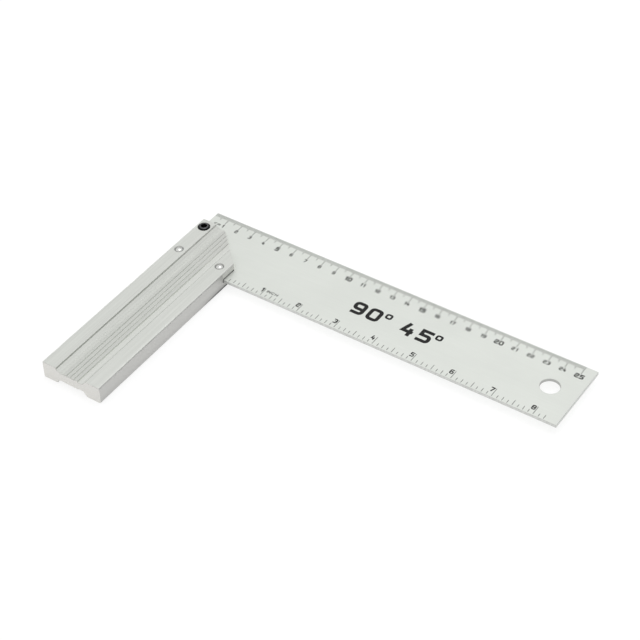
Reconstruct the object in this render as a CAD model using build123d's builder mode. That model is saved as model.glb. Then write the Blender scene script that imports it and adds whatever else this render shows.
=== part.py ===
"""Try and mitre square: a ruled blade held in the slot of a ribbed aluminium stock.

Millimetres. The origin is the centre of the object's outline, on the face that it lies on.
+X runs along the blade to its tip, +Y from the stock's free end to the blade, +Z is up.
Both faces of the stock are alike, so the object is symmetric about the blade's mid-plane,
apart from the heads of its fasteners.
"""

import os

from build123d import *

# ---- Blade -------------------------------------------------------------------------------
blade_length = 257.5  # from its butt, in the stock, to its tip
blade_width = 48.5
blade_thickness = 2.0
blade_butt_inset = 0.3  # butt held back from the stock's outer face
blade_standout = 13.6  # how far the outer edge stands past the stock's end
blade_corner_radius = 0.4
blade_edge_break = 0.15
hang_hole_radius = 5.7
hang_hole_from_tip = 17.0
hang_hole_from_outer_edge = 24.0

# ---- Stock: one length of extruded bar ---------------------------------------------------
stock_length = 148.0
stock_width = 40.0
stock_thickness = 11.2
outer_rail_width = 9.5  # the raised rail on the side away from the blade
inner_rail_width = 9.5  # the raised rail whose side is the fence
web_recess = 2.8  # how far the grip between the rails lies below them
step_wall_height = 1.2  # the upright part of the step down from the outer rail
step_slope_width = 2.6  # and its slope, which goes on down to the grip
ramp_width = 2.5  # the slope up to the inner rail
rib_pitch = 2.6  # as many ribs as the grip has room for: four
rib_height = 0.38
rib_fall_width = 0.2  # each rib's short side, toward the fence; its long side is a slope
plain_before_ribs = 2.0  # grip left plain between the step's slope and the first rib
plain_after_ribs = 3.0  # least grip left plain between the last rib and the ramp
plain_after_drop = 0.2  # it lies this much deeper than the rest
outer_edge_radius = 0.3
fence_edge_radius = 1.1
rail_edge_radius = 0.35  # the step's upper corner
step_foot_radius = 0.4  # the hollow at the foot of its upright part
ramp_edge_radius = 0.4
end_edge_break = 0.15
mitre_land = 10.6  # fence left between the mitre's end and the blade's inner edge

# ---- Slot for the blade ------------------------------------------------------------------
slot_side_clearance = 0.03  # each face of the blade to its cheek
slot_floor_gap = 0.6  # room for the blade to swing while it is trued

# ---- Rivets ------------------------------------------------------------------------------
rivet_shank_radius = 2.0
rivet_fit = 0.02  # rivet to the stock
rivet_from_inner_edge = 4.4  # rivet line to the blade's inner edge
pivot_from_fence = 5.8
countersink_radius = 2.75
rivet_rim_depth = 0.3  # the head's rim below the stock's face
top_crown_height = 0.95  # the made head's dome above its rim
bottom_crown_height = 0.25  # the set head's dome, which stays inside the face

# ---- Clamp screw -------------------------------------------------------------------------
screw_shank_radius = 2.0
screw_from_stock_end = 6.0
screw_head_radius = 3.65
screw_head_height = 2.2
screw_head_rim = 0.5
screw_head_flat_radius = 2.1
counterbore_radius = 3.85
counterbore_depth = 1.4
screw_end_gap = 1.8  # the screw stops this far above the stock's lower face
screw_clearance = 0.25  # screw to the hole in the upper cheek
thread_clearance = 0.03  # screw to the tapped hole, both drawn at the thread's outside
screw_end_chamfer = 0.4
hex_across_flats = 3.5
hex_depth = 1.5
hex_mouth_chamfer = 0.25

# ---- Holes in the blade ------------------------------------------------------------------
pivot_clearance = 0.03
steady_clearance = 0.32  # lets the blade swing half a degree each way about the pivot
clamp_clearance = 0.42

# ---- Places that follow from the sizes above ---------------------------------------------
overall_length = blade_butt_inset + blade_length
overall_depth = blade_standout + stock_length

outer_face_x = -overall_length / 2
fence_x = outer_face_x + stock_width
butt_x = outer_face_x + blade_butt_inset
tip_x = butt_x + blade_length

outer_edge_y = overall_depth / 2
stock_end_y = outer_edge_y - blade_standout
inner_edge_y = outer_edge_y - blade_width
slot_floor_y = inner_edge_y - slot_floor_gap

mid_z = stock_thickness / 2
blade_bottom_z = mid_z - blade_thickness / 2
slot_height = blade_thickness + 2 * slot_side_clearance
slot_bottom_z = mid_z - slot_height / 2

mitre_leg = blade_width - blade_standout - mitre_land

rivet_y = inner_edge_y + rivet_from_inner_edge
pivot_x = fence_x - pivot_from_fence
outer_rail_x = outer_face_x + outer_rail_width / 2
screw_y = stock_end_y - screw_from_stock_end
screw_seat_z = stock_thickness - counterbore_depth

rivet_places = {"pivot_rivet": (pivot_x, rivet_y), "steady_rivet": (outer_rail_x, rivet_y)}


# ---- Stock -------------------------------------------------------------------------------
def upper_outline():
    """Upper side of the bar's section, from the outer face to the fence, above mid height."""
    rail = stock_thickness / 2
    web = rail - web_recess
    points = [(0, rail), (outer_rail_width, rail), (outer_rail_width, rail - step_wall_height)]
    slope_foot = outer_rail_width + step_slope_width
    ramp_foot = stock_width - inner_rail_width - ramp_width
    rib_start = slope_foot + plain_before_ribs
    rib_count = int((ramp_foot - plain_after_ribs - rib_start) / rib_pitch)
    points.append((slope_foot, web))
    for _ in range(rib_count):
        points.append((rib_start, web))
        rib_start += rib_pitch
        points.append((rib_start - rib_fall_width, web + rib_height))
    points.append((rib_start, web - plain_after_drop))
    points.append((ramp_foot, web - plain_after_drop))
    points.append((stock_width - inner_rail_width, rail))
    points.append((stock_width, rail))
    return points


os.makedirs("parts", exist_ok=True)

section_plane = Plane(
    origin=(outer_face_x, stock_end_y, mid_z), x_dir=(1, 0, 0), z_dir=(0, -1, 0)
)

with BuildPart() as stock:
    with BuildSketch(section_plane) as section:
        with BuildLine():
            upper = upper_outline()
            lower = [(x, -z) for x, z in reversed(upper)]
            Polyline(*upper, *lower, close=True)
        make_face()
        # The step beside the outer rail: soft corners above and below its upright part.
        step_corners = section.vertices().group_by(Axis.X)[1].group_by(Axis.Y)
        fillet(step_corners[1] + step_corners[2], step_foot_radius)
        step_corners = section.vertices().group_by(Axis.X)[1].group_by(Axis.Y)
        fillet(step_corners[0] + step_corners[-1], rail_edge_radius)
        ramp_corners = section.vertices().group_by(Axis.X)[-2]
        fillet(ramp_corners, ramp_edge_radius)
        outer_corners = section.vertices().group_by(Axis.X)[0]
        fillet(outer_corners, outer_edge_radius)
        fence_corners = section.vertices().group_by(Axis.X)[-1]
        fillet(fence_corners, fence_edge_radius)
    extrude(amount=stock_length)

    # Break the edges of the free end.
    free_end = stock.faces().sort_by(Axis.Y)[0]
    chamfer(free_end.edges(), end_edge_break)

    # Cut the mitre off the corner where the fence meets the blade.
    with BuildSketch(Plane.XY):
        with BuildLine():
            Polyline(
                (fence_x + 1, stock_end_y + 1),
                (fence_x + 1, stock_end_y - mitre_leg - 1),
                (fence_x - mitre_leg - 1, stock_end_y + 1),
                close=True,
            )
        make_face()
    extrude(amount=stock_thickness, mode=Mode.SUBTRACT)

    # Saw the slot for the blade right across the bar.
    with BuildSketch(Plane.XY.offset(slot_bottom_z)):
        with Locations((outer_face_x - 1, slot_floor_y)):
            Rectangle(stock_width + 2, stock_length, align=(Align.MIN, Align.MIN))
    extrude(amount=slot_height, mode=Mode.SUBTRACT)

    # Rivet holes, countersunk on both faces.
    for x, y in rivet_places.values():
        upper_face = Plane(origin=(x, y, stock_thickness), z_dir=(0, 0, 1))
        lower_face = Plane(origin=(x, y, 0), z_dir=(0, 0, -1))
        with Locations(upper_face, lower_face):
            CounterSinkHole(
                rivet_shank_radius + rivet_fit,
                countersink_radius + rivet_fit,
                depth=stock_thickness / 2,
                counter_sink_angle=90,
            )

    # Screw hole: counterbored and clear in the upper cheek, tapped in the lower one.
    with Locations((outer_rail_x, screw_y, stock_thickness)):
        CounterBoreHole(
            screw_shank_radius + screw_clearance,
            counterbore_radius,
            counterbore_depth,
            depth=stock_thickness / 2,
        )
        Hole(screw_shank_radius + thread_clearance, depth=stock_thickness)
stock.part.label = "stock"
export_step(stock.part, "parts/stock.step")

# ---- Blade -------------------------------------------------------------------------------
with BuildPart() as blade:
    with BuildSketch(Plane.XY.offset(blade_bottom_z)) as outline:
        with Locations((butt_x, inner_edge_y)):
            Rectangle(blade_length, blade_width, align=(Align.MIN, Align.MIN))
        fillet(outline.vertices(), blade_corner_radius)
        with Locations((tip_x - hang_hole_from_tip, outer_edge_y - hang_hole_from_outer_edge)):
            Circle(hang_hole_radius, mode=Mode.SUBTRACT)
    extrude(amount=blade_thickness)
    broken_edges = blade.edges().group_by(Axis.Z)[0] + blade.edges().group_by(Axis.Z)[-1]
    chamfer(broken_edges, blade_edge_break)

    fastener_holes = (
        (pivot_x, rivet_y, rivet_shank_radius + pivot_clearance),
        (outer_rail_x, rivet_y, rivet_shank_radius + steady_clearance),
        (outer_rail_x, screw_y, screw_shank_radius + clamp_clearance),
    )
    for x, y, radius in fastener_holes:
        with Locations((x, y, mid_z)):
            Hole(radius)
blade.part.label = "blade"
export_step(blade.part, "parts/blade.step")

# ---- Rivets ------------------------------------------------------------------------------
rim_radius = countersink_radius - rivet_rim_depth
top_rim_z = stock_thickness - rivet_rim_depth
top_neck_z = stock_thickness - (countersink_radius - rivet_shank_radius)
bottom_neck_z = countersink_radius - rivet_shank_radius

for name, (x, y) in rivet_places.items():
    half_section = Plane(origin=(x, y, 0), x_dir=(1, 0, 0), z_dir=(0, -1, 0))
    with BuildPart() as rivet:
        with BuildSketch(half_section):
            with BuildLine():
                top = (0, top_rim_z + top_crown_height)
                bottom = (0, rivet_rim_depth - bottom_crown_height)
                RadiusArc(
                    top,
                    (rim_radius, top_rim_z),
                    (rim_radius**2 + top_crown_height**2) / (2 * top_crown_height),
                )
                Polyline(
                    (rim_radius, top_rim_z),
                    (rivet_shank_radius, top_neck_z),
                    (rivet_shank_radius, bottom_neck_z),
                    (rim_radius, rivet_rim_depth),
                )
                RadiusArc(
                    (rim_radius, rivet_rim_depth),
                    bottom,
                    (rim_radius**2 + bottom_crown_height**2) / (2 * bottom_crown_height),
                )
                Line(bottom, top)
            make_face()
        revolve(axis=Axis((x, y, 0), (0, 0, 1)))
    rivet.part.label = name
    export_step(rivet.part, f"parts/{name}.step")

# ---- Clamp screw -------------------------------------------------------------------------
head_top_z = screw_seat_z + screw_head_height
screw_section = Plane(origin=(outer_rail_x, screw_y, 0), x_dir=(1, 0, 0), z_dir=(0, -1, 0))

with BuildPart() as clamp_screw:
    with BuildSketch(screw_section):
        with BuildLine():
            Polyline((0, head_top_z), (screw_head_flat_radius, head_top_z))
            TangentArc(
                (screw_head_flat_radius, head_top_z),
                (screw_head_radius, screw_seat_z + screw_head_rim),
                tangent=(1, -0.2),
            )
            Polyline(
                (screw_head_radius, screw_seat_z + screw_head_rim),
                (screw_head_radius, screw_seat_z),
                (screw_shank_radius, screw_seat_z),
                (screw_shank_radius, screw_end_gap + screw_end_chamfer),
                (screw_shank_radius - screw_end_chamfer, screw_end_gap),
                (0, screw_end_gap),
                (0, head_top_z),
            )
        make_face()
    revolve(axis=Axis((outer_rail_x, screw_y, 0), (0, 0, 1)))

    # Hexagon socket with a coned mouth.
    with BuildSketch(Plane.XY.offset(head_top_z)):
        with Locations((outer_rail_x, screw_y)):
            RegularPolygon(hex_across_flats / 2, 6, major_radius=False)
    extrude(amount=-hex_depth, mode=Mode.SUBTRACT)
    mouth_radius = hex_across_flats / 2 + hex_mouth_chamfer
    with Locations((outer_rail_x, screw_y, head_top_z)):
        CounterSinkHole(
            hex_across_flats / 2 - hex_mouth_chamfer,
            mouth_radius,
            depth=hex_depth,
            counter_sink_angle=90,
        )
clamp_screw.part.label = "clamp_screw"
export_step(clamp_screw.part, "parts/clamp_screw.step")
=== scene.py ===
# %% [markdown]
# # A try square, from bare metal to finished scene
#
# The square is five pieces: a ribbed aluminium stock, a ruled blade in its slot, two rivets and
# a black screw. Their shapes come finished from the workshop drawing, packed as a frame. This
# lesson gives each piece its surface, prints the two scales on the blade, and lights the result.
#
# The first cell loads the frame and prints the names of its pieces.

# %% Load the frame
import math

import bmesh
import bpy
from mathutils import Matrix, Vector


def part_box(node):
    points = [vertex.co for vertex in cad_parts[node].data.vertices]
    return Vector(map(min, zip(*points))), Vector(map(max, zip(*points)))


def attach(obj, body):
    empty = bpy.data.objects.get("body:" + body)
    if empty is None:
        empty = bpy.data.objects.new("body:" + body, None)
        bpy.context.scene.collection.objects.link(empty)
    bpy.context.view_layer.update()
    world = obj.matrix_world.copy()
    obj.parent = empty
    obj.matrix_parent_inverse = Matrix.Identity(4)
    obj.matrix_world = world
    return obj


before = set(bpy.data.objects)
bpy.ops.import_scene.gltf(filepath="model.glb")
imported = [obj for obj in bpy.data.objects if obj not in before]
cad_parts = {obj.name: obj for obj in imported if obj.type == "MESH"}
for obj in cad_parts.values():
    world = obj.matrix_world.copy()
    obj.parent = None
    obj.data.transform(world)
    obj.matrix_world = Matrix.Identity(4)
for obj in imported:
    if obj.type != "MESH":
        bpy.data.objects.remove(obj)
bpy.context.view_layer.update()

print("pieces in the frame:", sorted(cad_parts))

# %% [markdown]
# ## Places to work from
#
# Every length below is in metres. A craftsman says millimetres, so `MM` turns one into the
# other. The edges of the blade and the stock are read from the frame instead of being typed in,
# so the printing still lands on the blade if the drawing changes.

# %% Edges of the blade and the stock
MM = 0.001
INCH = 25.4 * MM

blade_low, blade_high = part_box("blade")
stock_low, stock_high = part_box("stock")
butt, tip = blade_low.x, blade_high.x
inner_edge, outer_edge = blade_low.y, blade_high.y
blade_face = blade_high.z
fence = stock_high.x
print("blade:", round((tip - butt) / MM, 1), "by", round((outer_edge - inner_edge) / MM, 1), "mm")

# %% [markdown]
# ## The camera
#
# A tool is best shown from far away with a long lens, so that parallel edges stay nearly
# parallel. The camera is placed by five plain facts: the point it looks at, how far off it stands,
# how far round and how far up it is, and how much it leans.

# %% Camera
look_at = Vector((-22.47 * MM, 33.9 * MM, blade_face))
camera_distance = 1.0113
camera_round = math.radians(35.09)
camera_up = math.radians(42.03)
camera_lean = math.radians(-1.62)
lens_mm = 100.9
full_frame_mm = 36
nearest, farthest = 0.05, 50

away = Vector((
    math.sin(camera_round) * math.cos(camera_up),
    -math.cos(camera_round) * math.cos(camera_up),
    math.sin(camera_up),
))
camera = bpy.data.objects.new("camera", bpy.data.cameras.new("camera"))
bpy.context.scene.collection.objects.link(camera)
camera.data.lens = lens_mm
camera.data.sensor_width = full_frame_mm
camera.data.clip_start, camera.data.clip_end = nearest, farthest
turn = Matrix.Rotation(camera_round, 4, "Z") @ Matrix.Rotation(math.pi / 2 - camera_up, 4, "X")
camera.matrix_world = (
    Matrix.Translation(look_at + away * camera_distance)
    @ turn
    @ Matrix.Rotation(camera_lean, 4, "Z")
)
bpy.context.scene.camera = camera
print("camera stands at", [round(c, 3) for c in camera.matrix_world.translation])

# %% [markdown]
# ## Writing shader sums as sums
#
# A material in Blender is a graph of nodes. Wiring a sum node by node hides what it says, so
# `Value` wraps one output socket and lets Python's own operators add the Math nodes.
# `1 - mask` then reads the way it would on paper. Colours don't go through it, because a Math
# node keeps only a grey: they go through the mixing method of the next cell.

# %% A socket that can be added, multiplied and compared
class Value:
    """One number that varies over a surface, with Python's operators."""

    def __init__(self, finish, socket):
        self.finish = finish
        self.socket = socket

    def sum(self, operation, *others):
        sockets = dict(enumerate((self, *others)))
        return self.finish.node("ShaderNodeMath", {"operation": operation}, sockets)

    def __add__(self, other):
        return self.sum("ADD", other)

    def __radd__(self, other):
        return self.sum("ADD", other)

    def __sub__(self, other):
        return self.sum("SUBTRACT", other)

    def __rsub__(self, other):
        return (self * -1).sum("ADD", other)

    def __mul__(self, other):
        return self.sum("MULTIPLY", other)

    def __rmul__(self, other):
        return self.sum("MULTIPLY", other)

    def __truediv__(self, other):
        return self.sum("DIVIDE", other)

    def __abs__(self):
        return self.sum("ABSOLUTE")

    def root(self):
        return self.sum("SQRT")

    def at_most(self, other):
        return self.sum("MINIMUM", other)

    def ramp(self, start, end):
        """0 where this is at or below start, 1 at or above end, and smooth between."""
        settings = {"interpolation_type": "SMOOTHSTEP"}
        sockets = {"Value": self, "From Min": start, "From Max": end}
        return self.finish.node("ShaderNodeMapRange", settings, sockets)


# %% [markdown]
# ## A finish and the tools that build it
#
# `Finish` is one material. Its `node` method makes any node from a type, its settings and what
# goes into its sockets, and everything else is built on it: places on the surface, noise that can
# be stretched into brush lines, masks for faces that look one way, and bumps.

# %% One material and its tools
class Finish:
    """A material that is built up by name: colour, roughness, bumps."""

    def __init__(self, name):
        self.material = bpy.data.materials.new(name)
        self.material.use_nodes = True
        self.tree = self.material.node_tree
        self.shader = self.tree.nodes["Principled BSDF"]
        places = self.tree.nodes.new("ShaderNodeTexCoord")
        self.place = self.scaled(Value(self, places.outputs["Object"]), (1 / MM,) * 3)
        self.facing = Value(self, places.outputs["Normal"])

    def plug(self, socket, value):
        if isinstance(value, Value):
            self.tree.links.new(value.socket, socket)
        else:
            socket.default_value = value

    def node(self, kind, settings=None, sockets=None, output=0):
        made = self.tree.nodes.new(kind)
        for name, value in (settings or {}).items():
            setattr(made, name, value)
        for name, value in (sockets or {}).items():
            self.plug(made.inputs[name], value)
        return Value(self, made.outputs[output])

    def scaled(self, vector, factors):
        return self.node("ShaderNodeVectorMath", {"operation": "MULTIPLY"}, {0: vector, 1: factors})

    def distance(self, vector, point):
        settings = {"operation": "DISTANCE"}
        return self.node("ShaderNodeVectorMath", settings, {0: vector, 1: point}, "Value")

    def reach(self, x, y):
        """Millimetres from an upright line through (x, y), both in millimetres."""
        flat_place = self.scaled(self.place, (1.0, 1.0, 0.0))
        return self.distance(flat_place, (x, y, 0.0))

    def parts(self, vector):
        split = self.node("ShaderNodeSeparateXYZ", None, {0: vector})
        outputs = split.socket.node.outputs
        return [Value(self, outputs[axis]) for axis in "XYZ"]

    def noise(self, per_mm, detail=2.0, rough=0.5, warp=0.0):
        """Cloudy noise, 0 to 1, with its grains per millimetre along X, Y and Z."""
        where = self.scaled(self.place, per_mm)
        sockets = {"Vector": where, "Scale": 1.0, "Detail": detail, "Roughness": rough}
        sockets["Distortion"] = warp
        return self.node("ShaderNodeTexNoise", None, sockets)

    def rings(self, centre, per_mm, detail=3.0):
        """Noise that changes only with the distance from a point, such as a saw leaves."""
        reach = self.distance(self.place, centre) * per_mm
        settings = {"noise_dimensions": "1D"}
        return self.node("ShaderNodeTexNoise", settings, {"W": reach, "Detail": detail})

    def mix(self, factor, first, second):
        """From the first colour to the second one as the factor goes from 0 to 1."""
        made = self.tree.nodes.new("ShaderNodeMix")
        made.data_type = "RGBA"
        self.plug(made.inputs[0], factor)
        self.plug(made.inputs[6], first)
        self.plug(made.inputs[7], second)
        return Value(self, made.outputs[2])

    def bump(self, height, depth, before=None):
        """Bumps as deep as depth, in metres, on top of any that were made before."""
        sockets = {"Height": height, "Distance": depth, "Strength": 1.0}
        if before is not None:
            sockets["Normal"] = before
        return self.node("ShaderNodeBump", None, sockets)

    def finish(self, **sockets):
        for name, value in sockets.items():
            self.plug(self.shader.inputs[name.replace("_", " ")], value)
        return self.material


def dress(node, material):
    """Gives a piece of the frame its material."""
    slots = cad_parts[node].data.materials
    slots.clear()
    slots.append(material)


def grey(level, red=1.0, blue=1.0):
    """A grey as a colour, with its red and blue a little more or less than its green."""
    return (level * red, level, level * blue, 1.0)


print("tools ready")

# %% [markdown]
# ## Extruded aluminium for the stock
#
# The stock was pushed through a die, and the die leaves fine lines along its whole length. Noise
# squeezed across the bar and stretched along it gives just such lines: a fine set, a coarser set,
# and a few deeper scores where the noise passes a threshold. Its upright faces are left as they
# came from the die and are duller than the flats, which were brushed. Their colour is painted
# shade and light: darker on the two long sides, lighter on the walls inside the ribbed profile.
# The sawn end and the mitre show the arcs of a saw blade instead, so masks pick the faces by the
# way they look.
#
# Wear and dirt lie where use puts them. This cell makes a mask for each: nicks on the arrises and
# dirt in the sunk rings round the fasteners. A third mask is for painted shade: a dark foot along
# both long sides, darkest at the end that holds the blade.

# %% Masks for the stock
stock_mid_z = (stock_low.z + stock_high.z) / 2
half_thickness = (stock_high.z - stock_low.z) / 2


def side_distance(metal):
    """Millimetres in from the nearer long side of the bar."""
    across, _, _ = metal.parts(metal.place)
    middle = (stock_low.x + stock_high.x) / 2 / MM
    return (stock_high.x - stock_low.x) / 2 / MM - abs(across - middle)


def arris_wear(metal):
    """Nicks along the bar's four long arrises, which knock against things."""
    _, _, up = metal.parts(metal.place)
    from_side = side_distance(metal)
    from_face = half_thickness / MM - abs(up - stock_mid_z / MM)
    near = 1 - (from_side * from_side + from_face * from_face).root().ramp(0.3, 1.1)
    nicks = metal.noise((0.5, 0.22, 0.5), detail=3.0, rough=0.7).ramp(0.52, 0.66)
    return near * nicks


def fastener_grime(metal):
    """Dirt that settles in the sunk rings round the rivets and the screw."""
    grime = 0
    for fastener, ring in (("pivot_rivet", 0.5), ("steady_rivet", 0.5), ("clamp_screw", 0.15)):
        low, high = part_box(fastener)
        middle = (low + high) / 2 / MM
        radius = (high.x - low.x) / 2 / MM + ring
        grime = grime + (1 - metal.reach(middle.x, middle.y).ramp(radius - 0.1, radius + 0.15))
    return grime


def foot_dirt(metal, across, corner):
    """Painted shade low down on both long sides, darkest at the end that holds the blade."""
    _, _, height = metal.parts(metal.place)
    foot = (1 - height.ramp(0.1, 1.2)) * 0.5 + (1 - height.ramp(1.0, 2.2)) * 0.9 * corner
    upper_shade = (1 - height.ramp(0.5, 6.0)) * (0.15 + 0.25 * corner)
    return abs(across).ramp(0.3, 0.6) * (foot + upper_shade).at_most(1.0)


print("masks ready")

# %% [markdown]
# ## The stock's finish
#
# The colour is laid on in the order a painter would use: the bare metal and its lines, then what
# differs from face to face, with painted shade and light on the walls, then the painted shade along
# the foot and the sawn faces, and at the end the nicks and the grime. Two masks belong to the upper
# cheek where the slot is: both of its sides are painted paler there, as light from the pale blade
# beside them, and a dark line of painted shadow runs along the slot.

# %% Stock finish
corner_length = 30
slot_shadow_height = 0.5


def extruded_aluminium():
    metal = Finish("extruded_aluminium")
    fine = metal.noise((5.0, 0.03, 5.0), detail=3.0, rough=0.6)
    coarse = metal.noise((0.9, 0.008, 0.9), detail=2.0)
    clouds = metal.noise((0.05, 0.03, 0.05), detail=4.0)
    scores = metal.noise((2.2, 0.004, 2.2), detail=1.0).ramp(0.62, 0.70)
    grain = metal.noise((7.0, 7.0, 7.0), detail=2.0)

    across, along, _ = metal.parts(metal.facing)
    _, up_the_bar, height = metal.parts(metal.place)
    blade_starts, slot_top = inner_edge / MM, blade_face / MM
    upright = abs(across).ramp(0.55, 0.95)
    inside = side_distance(metal).ramp(2.0, 3.0)
    corner = up_the_bar.ramp(blade_starts - corner_length, blade_starts)
    low_painted_shade = foot_dirt(metal, across, corner)
    over_blade = upright * up_the_bar.ramp(blade_starts - 0.3, blade_starts + 0.1)
    cheek = over_blade * height.ramp(slot_top - 0.2, slot_top)
    slot_shadow_top = slot_top + slot_shadow_height
    slot_shadow = cheek * (1 - height.ramp(slot_shadow_top, slot_shadow_top + 0.25))
    sawn = abs(along).ramp(0.35, 0.6)
    saw_centre = (stock_low.x / MM - 60, 0.0, -150.0)
    saw_arcs = metal.rings(saw_centre, 2.2)
    wear = arris_wear(metal)
    grime = fastener_grime(metal)

    lines = fine * 0.6 + coarse * 0.4
    body = metal.mix(lines.ramp(0.25, 0.75), grey(0.61, 0.98, 0.95), grey(0.73, 0.98, 0.95))
    body = metal.mix(clouds.ramp(0.3, 0.75) * 0.3, body, grey(0.64, 0.97, 0.95))
    body = metal.mix(scores * 0.4, body, grey(0.48, 0.98, 0.95))
    # Painted shade and light: the two long sides are darker, the walls inside the profile lighter.
    walls_painted_light_and_shade = metal.mix(inside, grey(0.575, 1.0, 0.97), grey(0.72, 0.98, 0.95))
    body = metal.mix(upright, body, walls_painted_light_and_shade)
    # Painted light: the cheek's sides over the slot are paler, as if lit by the pale blade.
    body = metal.mix(cheek, body, grey(0.78, 1.0, 0.97))
    # Painted shadow: a dark line along the slot, where the gap under the cheek lies in shade.
    body = metal.mix(slot_shadow * 0.95, body, grey(0.04))
    # Painted shade: the foot of both long sides darkens towards the floor, most near the blade.
    foot_shade_colour = metal.mix(corner, grey(0.25, 1.0, 0.98), grey(0.05))
    body = metal.mix(low_painted_shade, body, foot_shade_colour)
    cut = metal.mix(saw_arcs.ramp(0.35, 0.65), grey(0.70, 1.01, 0.96), grey(0.81, 1.01, 0.96))
    colour = metal.mix(sawn, body, cut)
    colour = metal.mix(wear * 0.5, colour, grey(0.88, 0.99, 0.97))
    colour = metal.mix(grime * 0.35, colour, grey(0.30))

    roughness = 0.36 + 0.12 * lines + 0.08 * grain + 0.06 * sawn + 0.05 * upright - 0.12 * wear
    relief = (lines + scores * -0.6) * (1 - sawn) + saw_arcs * sawn * 1.5
    normal = metal.bump(grain, 0.004 * MM, metal.bump(relief, 0.008 * MM))
    return metal.finish(
        Base_Color=colour, Metallic=0.78, Roughness=roughness, Normal=normal
    )


dress("stock", extruded_aluminium())
print("stock dressed")

# %% [markdown]
# ## Matt anodised sheet for the blade
#
# The blade is rolled sheet that was lightly etched and anodised: paler and duller than the
# stock, with a faint lengthways roll, a very fine grain and a trace of green. Its sheared edges
# are bare and darker, partly as painted shade, and the wall of the hang hole is painted darker
# still, as shade. A few long hair scratches keep it from looking like paint.

# %% Blade finish
hang_hole_place = (tip / MM - 17.0, outer_edge / MM - 24.0)
hang_hole_wall = 6.0


def anodised_sheet():
    metal = Finish("anodised_sheet")
    rolled = metal.noise((0.03, 3.0, 3.0), detail=3.0, rough=0.6)
    clouds = metal.noise((0.02, 0.04, 0.04), detail=4.0, rough=0.55)
    etch = metal.noise((7.0, 7.0, 7.0), detail=2.0)
    hairs = metal.noise((0.06, 1.6, 1.6), detail=1.0, warp=0.6).ramp(0.72, 0.76)
    shear = metal.noise((1.5, 1.5, 0.4), detail=3.0)

    _, _, up = metal.parts(metal.facing)
    edge = 1 - abs(up).ramp(0.3, 0.9)
    hole_wall_shade = 1 - metal.reach(*hang_hole_place).ramp(hang_hole_wall, hang_hole_wall + 0.2)

    body = metal.mix(clouds.ramp(0.3, 0.7), grey(0.735, 0.97, 0.95), grey(0.77, 0.97, 0.95))
    body = metal.mix(rolled.ramp(0.35, 0.65) * 0.3, body, grey(0.70, 0.97, 0.95))
    body = metal.mix(hairs * 0.12, body, grey(0.88, 0.98, 0.96))
    # The sheared edges are bare metal, and their darker colour is partly painted shade.
    shaded_bare_edge = metal.mix(shear.ramp(0.35, 0.65), grey(0.60, 0.99, 0.97), grey(0.70, 0.99, 0.97))
    # Painted shade: the wall of the hang hole is darker still.
    shaded_bare_edge = metal.mix(hole_wall_shade, shaded_bare_edge, grey(0.50, 0.99, 0.97))
    colour = metal.mix(edge, body, shaded_bare_edge)

    roughness = 0.46 + 0.10 * etch + 0.06 * clouds - 0.06 * edge - 0.05 * hairs
    normal = metal.bump(etch, 0.004 * MM, metal.bump(rolled, 0.003 * MM))
    return metal.finish(
        Base_Color=colour, Metallic=0.85, Roughness=roughness, Normal=normal
    )


dress("blade", anodised_sheet())
print("blade dressed")

# %% [markdown]
# ## Bright rivets
#
# A rivet's head is pressed to shape by a polished die, so it is the shiniest thing on the
# square, with faint rings where the die turned and a darker line where grime settles round the
# rim.

# %% Rivet finish
def pressed_rivet(name):
    metal = Finish("bright_" + name)
    low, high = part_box(name)
    middle = (low + high) / 2 / MM
    rim_radius = (high.x - low.x) / 2 / MM
    grime = metal.reach(middle.x, middle.y).ramp(rim_radius - 0.35, rim_radius)
    rings = metal.rings((middle.x, middle.y, middle.z), 7.0)
    dents = metal.noise((1.6, 1.6, 1.6), detail=2.0)

    colour = metal.mix(grime, grey(0.64, 0.99, 0.97), grey(0.16))
    roughness = 0.10 + 0.07 * rings + 0.30 * grime
    normal = metal.bump(dents, 0.04 * MM, metal.bump(rings, 0.003 * MM))
    return metal.finish(
        Base_Color=colour, Metallic=1.0, Roughness=roughness, Normal=normal
    )


for rivet in ("pivot_rivet", "steady_rivet"):
    dress(rivet, pressed_rivet(rivet))
print("rivets dressed")

# %% [markdown]
# ## Black oxide for the screw
#
# The screw is steel blackened in a hot salt bath. The black is thin: it stays dark in the
# hollows and wears to a dull grey on the crown, where a key has slipped now and then. The grey
# ring on the crown is also a painted highlight.

# %% Screw finish
def black_oxide():
    metal = Finish("black_oxide")
    low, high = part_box("clamp_screw")
    middle = (low + high) / 2 / MM
    head_radius = (high.x - low.x) / 2 / MM
    reach = metal.reach(middle.x, middle.y)
    speckle = metal.noise((6.0, 6.0, 6.0), detail=3.0)
    crown = reach.ramp(1.8, 2.15) * (1 - reach.ramp(head_radius - 1.15, head_radius - 0.75))
    worn_and_lit_crown = crown * speckle.ramp(0.25, 0.6)

    # The grey ring on the crown is partly wear of the black and partly a painted highlight.
    colour = metal.mix(worn_and_lit_crown, grey(0.014), grey(0.13, 0.98, 1.03))
    roughness = 0.22 + 0.12 * speckle + 0.06 * worn_and_lit_crown
    normal = metal.bump(speckle, 0.004 * MM)
    return metal.finish(
        Base_Color=colour, Metallic=0.85, Roughness=roughness, Normal=normal
    )


dress("clamp_screw", black_oxide())
print("screw dressed")

# %% [markdown]
# ## Ink
#
# The scales are screen printed: a thin black film with a soft sheen, a little uneven where the
# mesh let less ink through.

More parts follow.
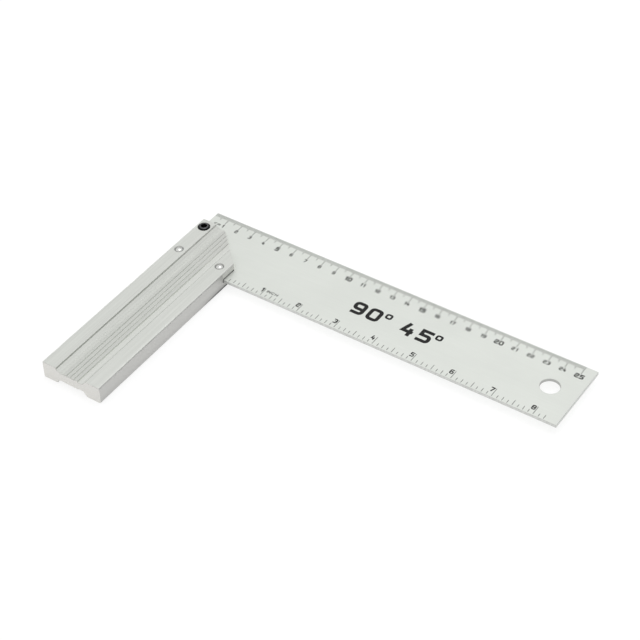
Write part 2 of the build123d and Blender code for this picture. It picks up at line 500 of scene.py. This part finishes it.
# %% Ink finish
def printing_ink():
    ink = Finish("printing_ink")
    cover = ink.noise((1.2, 1.2, 1.2), detail=3.0)
    mesh_marks = ink.noise((8.0, 8.0, 8.0), detail=1.0)
    colour = ink.mix(cover.ramp(0.4, 0.8) * 0.6, grey(0.008), grey(0.022))
    roughness = 0.5 + 0.15 * mesh_marks
    normal = ink.bump(mesh_marks, 0.003 * MM)
    ink.shader.inputs["Specular IOR Level"].default_value = 0.25
    return ink.finish(Base_Color=colour, Metallic=0.0, Roughness=roughness, Normal=normal)


black_ink = printing_ink()
ink_height = 0.02 * MM
ink_sink = 0.01 * MM


def print_on_blade(name, form):
    """Makes a printed piece from a closed form, and lets it ride on the blade."""
    mesh = bpy.data.meshes.new(name)
    form.to_mesh(mesh)
    form.free()
    mesh.materials.append(black_ink)
    piece = bpy.data.objects.new(name, mesh)
    bpy.context.scene.collection.objects.link(piece)
    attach(piece, "blade")
    print(name, "has", len(mesh.polygons), "faces")


# %% [markdown]
# ## Ruling the scales
#
# A rule is read by the length of its lines: short for a millimetre, longer for five, longest for
# a centimetre. One function lays a line down as a thin slab of ink, and a loop rules each scale.
# The centimetres start at the blade's butt and run along the outer edge. The inches start at the
# fence, because that edge measures inside the square.

# %% Lines
def lay_line(form, x, y_start, y_end, width):
    """Adds one line of ink across the blade to a form."""
    low = Vector((x - width / 2, min(y_start, y_end), blade_face - ink_sink))
    high = Vector((x + width / 2, max(y_start, y_end), blade_face + ink_height))
    size = high - low
    place = Matrix.Translation((low + high) / 2) @ Matrix.Diagonal((*size, 1.0))
    bmesh.ops.create_cube(form, size=1.0, matrix=place)


edge_gap = 0.2 * MM
millimetre_count = 250
line_width = 0.28 * MM
millimetre_line, five_line, centimetre_line = 2.9 * MM, 4.6 * MM, 6.6 * MM

form = bmesh.new()
for n in range(1, millimetre_count + 1):
    length = centimetre_line if n % 10 == 0 else five_line if n % 5 == 0 else millimetre_line
    lay_line(form, butt + n * MM, outer_edge - edge_gap, outer_edge - length, line_width)
print_on_blade("millimetre_lines", form)

inch_gap = 0.9 * MM
eighth_count = 66
inch_lines = {1: 3.1 * MM, 2: 3.7 * MM, 4: 4.9 * MM, 8: 7.2 * MM}

form = bmesh.new()
for n in range(1, eighth_count + 1):
    step = max(size for size in inch_lines if n % size == 0)
    x = fence + n * INCH / 8
    lay_line(form, x, inner_edge + inch_gap, inner_edge + inch_lines[step], line_width)
print_on_blade("inch_lines", form)

# %% [markdown]
# ## A pen for the numbers
#
# The numbers on a rule are drawn, not typeset: one pen of constant width, square shapes with
# rounded corners, wider than a book's. So each sign is written down as the strokes of that pen
# in a box one unit wide and one unit high. Rounding a corner is one short curve in place of its
# point, and a stroke becomes a closed slab of ink by stepping half a pen's width to either side.

# %% Strokes of each sign
# A stroke is (points, whether it closes on itself, whether its corners are rounded). A point
# with a third value moves its end along the stroke by that share of the pen's width: CAP makes
# the end stand as far out as a corner does, and TOUCH stops it at another stroke's side.
CAP, TOUCH = 0.5, -0.5
SIGNS = {
    "0": [([(0, 0), (1, 0), (1, 1), (0, 1)], True, True)],
    "1": [([(0.08, 0.8), (0.62, 1), (0.62, 0, CAP)], False, False)],
    "2": [([(0, 0.76), (0, 1), (1, 1), (1, 0.5), (0, 0.5), (0, 0), (1, 0, CAP)], False, True)],
    "3": [
        ([(0, 1, CAP), (1, 1), (1, 0), (0, 0, CAP)], False, True),
        ([(0.24, 0.52), (1, 0.52, TOUCH)], False, False),
    ],
    "4": [
        ([(0.3, 1, CAP), (0, 0.3), (0.74, 0.3, TOUCH)], False, False),
        ([(0.74, 0.66), (0.74, 0, CAP)], False, False),
        ([(0.74, 0.3, TOUCH), (1.06, 0.3)], False, False),
    ],
    "5": [
        ([(0.96, 1, CAP), (0.04, 1), (0.04, 0.56, TOUCH)], False, False),
        ([(0.04, 0.56, CAP), (1, 0.56), (1, 0), (0, 0, CAP)], False, True),
    ],
    "6": [([(0, 0.56, TOUCH), (1, 0.56), (1, 0), (0, 0), (0, 1), (0.9, 1, CAP)], False, True)],
    "7": [([(0, 1, CAP), (1, 1), (0.4, 0, CAP)], False, False)],
    "8": [
        ([(0, 0), (1, 0), (1, 1), (0, 1)], True, True),
        ([(0, 0.52, TOUCH), (1, 0.52, TOUCH)], False, False),
    ],
    "9": [([(1, 0.44, TOUCH), (0, 0.44), (0, 1), (1, 1), (1, 0), (0.1, 0, CAP)], False, True)],
    "c": [([(0.9, 1, CAP), (0, 1), (0, 0), (0.9, 0, CAP)], False, True)],
    "m": [
        ([(0, 0, CAP), (0, 1), (1.04, 1), (1.04, 0, CAP)], False, True),
        ([(0.52, 0, CAP), (0.52, 1, TOUCH)], False, False),
    ],
    "I": [([(0.5, 0, CAP), (0.5, 1, CAP)], False, False)],
    "N": [([(0, 0, CAP), (0, 1), (1, 0), (1, 1, CAP)], False, False)],
    "C": [([(0.95, 1, CAP), (0, 1), (0, 0), (0.95, 0, CAP)], False, True)],
    "H": [
        ([(0, 0, CAP), (0, 1, CAP)], False, False),
        ([(1, 0, CAP), (1, 1, CAP)], False, False),
        ([(0, 0.52, TOUCH), (1, 0.52, TOUCH)], False, False),
    ],
    "°": [([(0, 0), (1, 0), (1, 1), (0, 1)], True, True)],
}
# How wide a sign is, as a share of the usual width.
NARROW = {"1": 0.62, "I": 0.3, "m": 1.04, "4": 1.06}

print("signs:", " ".join(SIGNS))

# %% [markdown]
# ## Drawing with the pen
#
# Three small functions turn a sign into ink. One rounds its corners, one gives a line its width,
# and one puts the sign's points into a box of the right size. The fourth draws signs in a row.

# %% The pen
curve_steps = 6
corner_share = 0.32
# A curve may use up half of a side, or nearly all of a side that ends freely.
half_side, free_side = 0.5, 0.98
same_spot = 0.001 * MM
# At a sharp corner the pen's slab grows wider, but never past 1 / sharpest times the pen.
sharpest = 0.35


def rounded(points, radius, closed):
    """The same outline with each corner replaced by a short curve."""
    last = len(points) - 1
    smooth = []
    for i, corner in enumerate(points):
        if not closed and i in (0, last):
            smooth.append(corner)
            continue
        before = points[i - 1] - corner
        after = points[(i + 1) % len(points)] - corner
        room_before = before.length * (free_side if not closed and i == 1 else half_side)
        room_after = after.length * (free_side if not closed and i == last - 1 else half_side)
        start = corner + before.normalized() * min(radius, room_before)
        end = corner + after.normalized() * min(radius, room_after)
        for step in range(curve_steps + 1):
            t = step / curve_steps
            smooth.append(start * (1 - t) ** 2 + corner * 2 * t * (1 - t) + end * t**2)
    # Where two curves meet end to end, their shared point is kept once.
    return [spot for i, spot in enumerate(smooth) if (spot - smooth[i - 1]).length > same_spot]


def draw_stroke(form, points, pen, closed):
    """Adds one closed slab of ink along the points, as wide as the pen."""
    count = len(points)
    rims = []
    for i, point in enumerate(points):
        back = points[i - 1] if closed or i > 0 else None
        ahead = points[(i + 1) % count] if closed or i < count - 1 else None
        arriving = (point - back).normalized() if back is not None else None
        leaving = (ahead - point).normalized() if ahead is not None else None
        heading = ((arriving or leaving) + (leaving or arriving)).normalized()
        side = Vector((-heading.y, heading.x))
        half = side * (pen / 2 / max(sharpest, heading.dot(arriving or leaving)))
        floor_z, top_z = blade_face - ink_sink, blade_face + ink_height
        corners = ((point + half, floor_z), (point - half, floor_z),
                   (point - half, top_z), (point + half, top_z))
        rims.append([form.verts.new((spot.x, spot.y, z)) for spot, z in corners])
    for i in range(count if closed else count - 1):
        this, following = rims[i], rims[(i + 1) % count]
        for k in range(4):
            form.faces.new((this[k], this[(k + 1) % 4], following[(k + 1) % 4], following[k]))
    if not closed:
        form.faces.new(rims[0][::-1])
        form.faces.new(rims[-1])


def pen_path(points, origin, box_width, box_height, pen):
    """Places a stroke's points in its box, and moves each end that is marked to be moved."""
    places = [origin + Vector((x * box_width, y * box_height)) for x, y, *_ in points]
    for end, inward in ((0, 1), (-1, -2)):
        if len(points[end]) == 3:
            outward = (places[end] - places[inward]).normalized()
            places[end] += outward * pen * points[end][2]
    return places


def draw_words(form, words, height, width, pen, gap, base, left=None, centre=None, right=None):
    """Draws signs in a row. Height and width are those of one sign, its ink included."""
    box_width, box_height = width - pen, height - pen
    widths = [NARROW.get(sign, 1.0) * box_width + pen for sign in words]
    total = sum(widths) + gap * (len(words) - 1)
    if centre is not None:
        left = centre - total / 2
    elif right is not None:
        left = right - total
    for sign, sign_width in zip(words, widths):
        origin = Vector((left + pen / 2, base + pen / 2))
        for points, closed, soft in SIGNS[sign]:
            places = pen_path(points, origin, box_width, box_height, pen)
            if soft:
                places = rounded(places, corner_share * box_width, closed)
            draw_stroke(form, places, pen, closed)
        left += sign_width + gap
    bmesh.ops.recalc_face_normals(form, faces=form.faces)


print("pen ready")

# %% [markdown]
# ## Numbers
#
# Every fifth centimetre is larger and bolder, so that the eye can count in fives. The numbers of
# one scale go into one form: on the real blade they are one pass of the printing screen.

# %% Numbers of the centimetre scale
small = {"height": 2.75 * MM, "width": 1.95 * MM, "pen": 0.54 * MM, "gap": 0.4 * MM}
large = {"height": 3.5 * MM, "width": 2.6 * MM, "pen": 0.78 * MM, "gap": 0.42 * MM}
number_middle = 8.65 * MM

form = bmesh.new()
for n in range(1, millimetre_count // 10 + 1):
    look = large if n % 5 == 0 else small
    base = outer_edge - number_middle - look["height"] / 2
    draw_words(form, str(n), base=base, centre=butt + 10 * n * MM, **look)
unit = {"height": 1.5 * MM, "width": 1.9 * MM, "pen": 0.38 * MM, "gap": 0.4 * MM}
unit_base = outer_edge - number_middle - unit["height"] / 2
draw_words(form, "cm", base=unit_base, right=butt + 8.1 * MM, **unit)
print_on_blade("centimetre_numbers", form)

# %% [markdown]
# The inch numbers are all of one size. Each stands just to the left of its line, and the word
# follows the first.

# %% Numbers of the inch scale
inch_look = {"height": 3.5 * MM, "width": 2.45 * MM, "pen": 0.72 * MM, "gap": 0.4 * MM}
inch_base = inner_edge + 3.85 * MM
inch_number_gap = 0.65 * MM

form = bmesh.new()
for n in range(1, eighth_count // 8 + 1):
    right = fence + n * INCH - inch_number_gap
    draw_words(form, str(n), base=inch_base, right=right, **inch_look)
word = {"height": 1.9 * MM, "width": 1.9 * MM, "pen": 0.38 * MM, "gap": 0.56 * MM}
word_lift = word_shift = 0.9 * MM
word_left = fence + INCH + word_shift
draw_words(form, "INCH", base=inch_base + word_lift, left=word_left, **word)
print_on_blade("inch_numbers", form)

# %% [markdown]
# ## The mark in the middle
#
# Squares carry a bold mark on the blade. Here it says only what the square does: its two angles,
# ninety and forty-five degrees, drawn with a broad pen.

# %% Angle mark
mark = {"height": 10.4 * MM, "width": 8.4 * MM, "pen": 2.3 * MM, "gap": 1.9 * MM}
degree = {"height": 4.4 * MM, "width": 4.4 * MM, "pen": 1.3 * MM, "gap": 0.0}
mark_left = fence + 75.5 * MM
mark_base = inner_edge + 16.6 * MM
word_step = 33.0 * MM
degree_step = 20.2 * MM
degree_base = mark_base + mark["height"] - degree["height"]

form = bmesh.new()
for n, angle in enumerate(("90", "45")):
    angle_left = mark_left + n * word_step
    draw_words(form, angle, base=mark_base, left=angle_left, **mark)
    draw_words(form, "°", base=degree_base, left=angle_left + degree_step, **degree)
print_on_blade("angle_mark", form)

# %% [markdown]
# ## Floor
#
# The square lies on a white table that glows, as a light table does, so that no hard shadow forms
# under it. The table is a hair lower than the square's lowest faces, because two faces in one
# place would flicker.

# %% Floor
floor_radius = 6.0
floor_gap = 0.1 * MM


def pale_floor():
    paint = Finish("pale_floor")
    mottle = paint.noise((0.01, 0.01, 0.01), detail=3.0)
    colour = paint.mix(mottle, grey(0.29), grey(0.31))
    glow = {"Emission Color": (1.0, 1.0, 1.0, 1.0), "Emission Strength": 0.75}
    for name, value in glow.items():
        paint.shader.inputs[name].default_value = value
    return paint.finish(Base_Color=colour, Roughness=0.9)


floor_mesh = bpy.data.meshes.new("floor")
floor_form = bmesh.new()
bmesh.ops.create_circle(floor_form, cap_ends=True, segments=96, radius=floor_radius)
floor_form.to_mesh(floor_mesh)
floor_form.free()
floor_mesh.materials.append(pale_floor())
floor = bpy.data.objects.new("floor", floor_mesh)
bpy.context.scene.collection.objects.link(floor)
floor.location.z = -floor_gap
print("floor laid", floor_gap / MM, "mm below the square")

# %% [markdown]
# ## One soft box
#
# A large square lamp hangs high over the blade. It is weak, because the sky does most of the
# lighting, and what it adds is the bright spot on each rivet.

# %% Light
def soft_light(name, power, size, place, aim=(0.0, 0.0, 0.0)):
    lamp = bpy.data.lights.new(name, "AREA")
    lamp.energy = power
    lamp.size = size
    lamp.shape = "SQUARE"
    holder = bpy.data.objects.new(name, lamp)
    holder.location = place
    holder.rotation_euler = (Vector(aim) - Vector(place)).to_track_quat("-Z", "Y").to_euler()
    bpy.context.scene.collection.objects.link(holder)
    print(name, power, "W")


soft_light("soft_box", power=4.5, size=0.9, place=(-0.1, 0.45, 1.9))

# %% [markdown]
# ## Sky
#
# The sky is bright high up and dim low down, and the bright part comes down lowest behind the
# square. Polished metal needs something dark to mirror too, or its shape is lost.

# %% Sky
sky = bpy.data.worlds.new("sky")
bpy.context.scene.world = sky
sky.use_nodes = True
sky_tree = sky.node_tree


def sky_node(kind, settings, sockets):
    made = sky_tree.nodes.new(kind)
    for name, value in settings.items():
        setattr(made, name, value)
    for name, value in sockets.items():
        if isinstance(value, bpy.types.NodeSocket):
            sky_tree.links.new(value, made.inputs[name])
        else:
            made.inputs[name].default_value = value
    return made.outputs


low_sky, bright_sky = 0.24, 1.0
dim_up_to, bright_from = 0.35, 0.72
backwards, backward_share = (-0.575, 0.818, 0.0), 0.3
direction = sky_node("ShaderNodeTexCoord", {}, {})["Generated"]
axes = sky_node("ShaderNodeSeparateXYZ", {}, {0: direction})
sockets = {0: direction, 1: backwards}
behind = sky_node("ShaderNodeVectorMath", {"operation": "DOT_PRODUCT"}, sockets)["Value"]
behind = sky_node("ShaderNodeMath", {"operation": "MAXIMUM"}, {0: behind, 1: 0.0})["Value"]
settings = {"operation": "MULTIPLY_ADD"}
sockets = {0: behind, 1: backward_share, 2: axes["Z"]}
openness = sky_node("ShaderNodeMath", settings, sockets)
sockets = {"Value": openness["Value"], "From Min": dim_up_to, "From Max": bright_from}
sockets.update({"To Min": low_sky, "To Max": bright_sky})
strength = sky_node("ShaderNodeMapRange", {"interpolation_type": "SMOOTHSTEP"}, sockets)
background = sky_tree.nodes["Background"]
background.inputs["Color"].default_value = (1.0, 1.0, 1.0, 1.0)
sky_tree.links.new(strength["Result"], background.inputs["Strength"])
print("sky from", low_sky, "low down to", bright_sky, "overhead")
bpy.context.scene.view_settings.view_transform = "Standard"
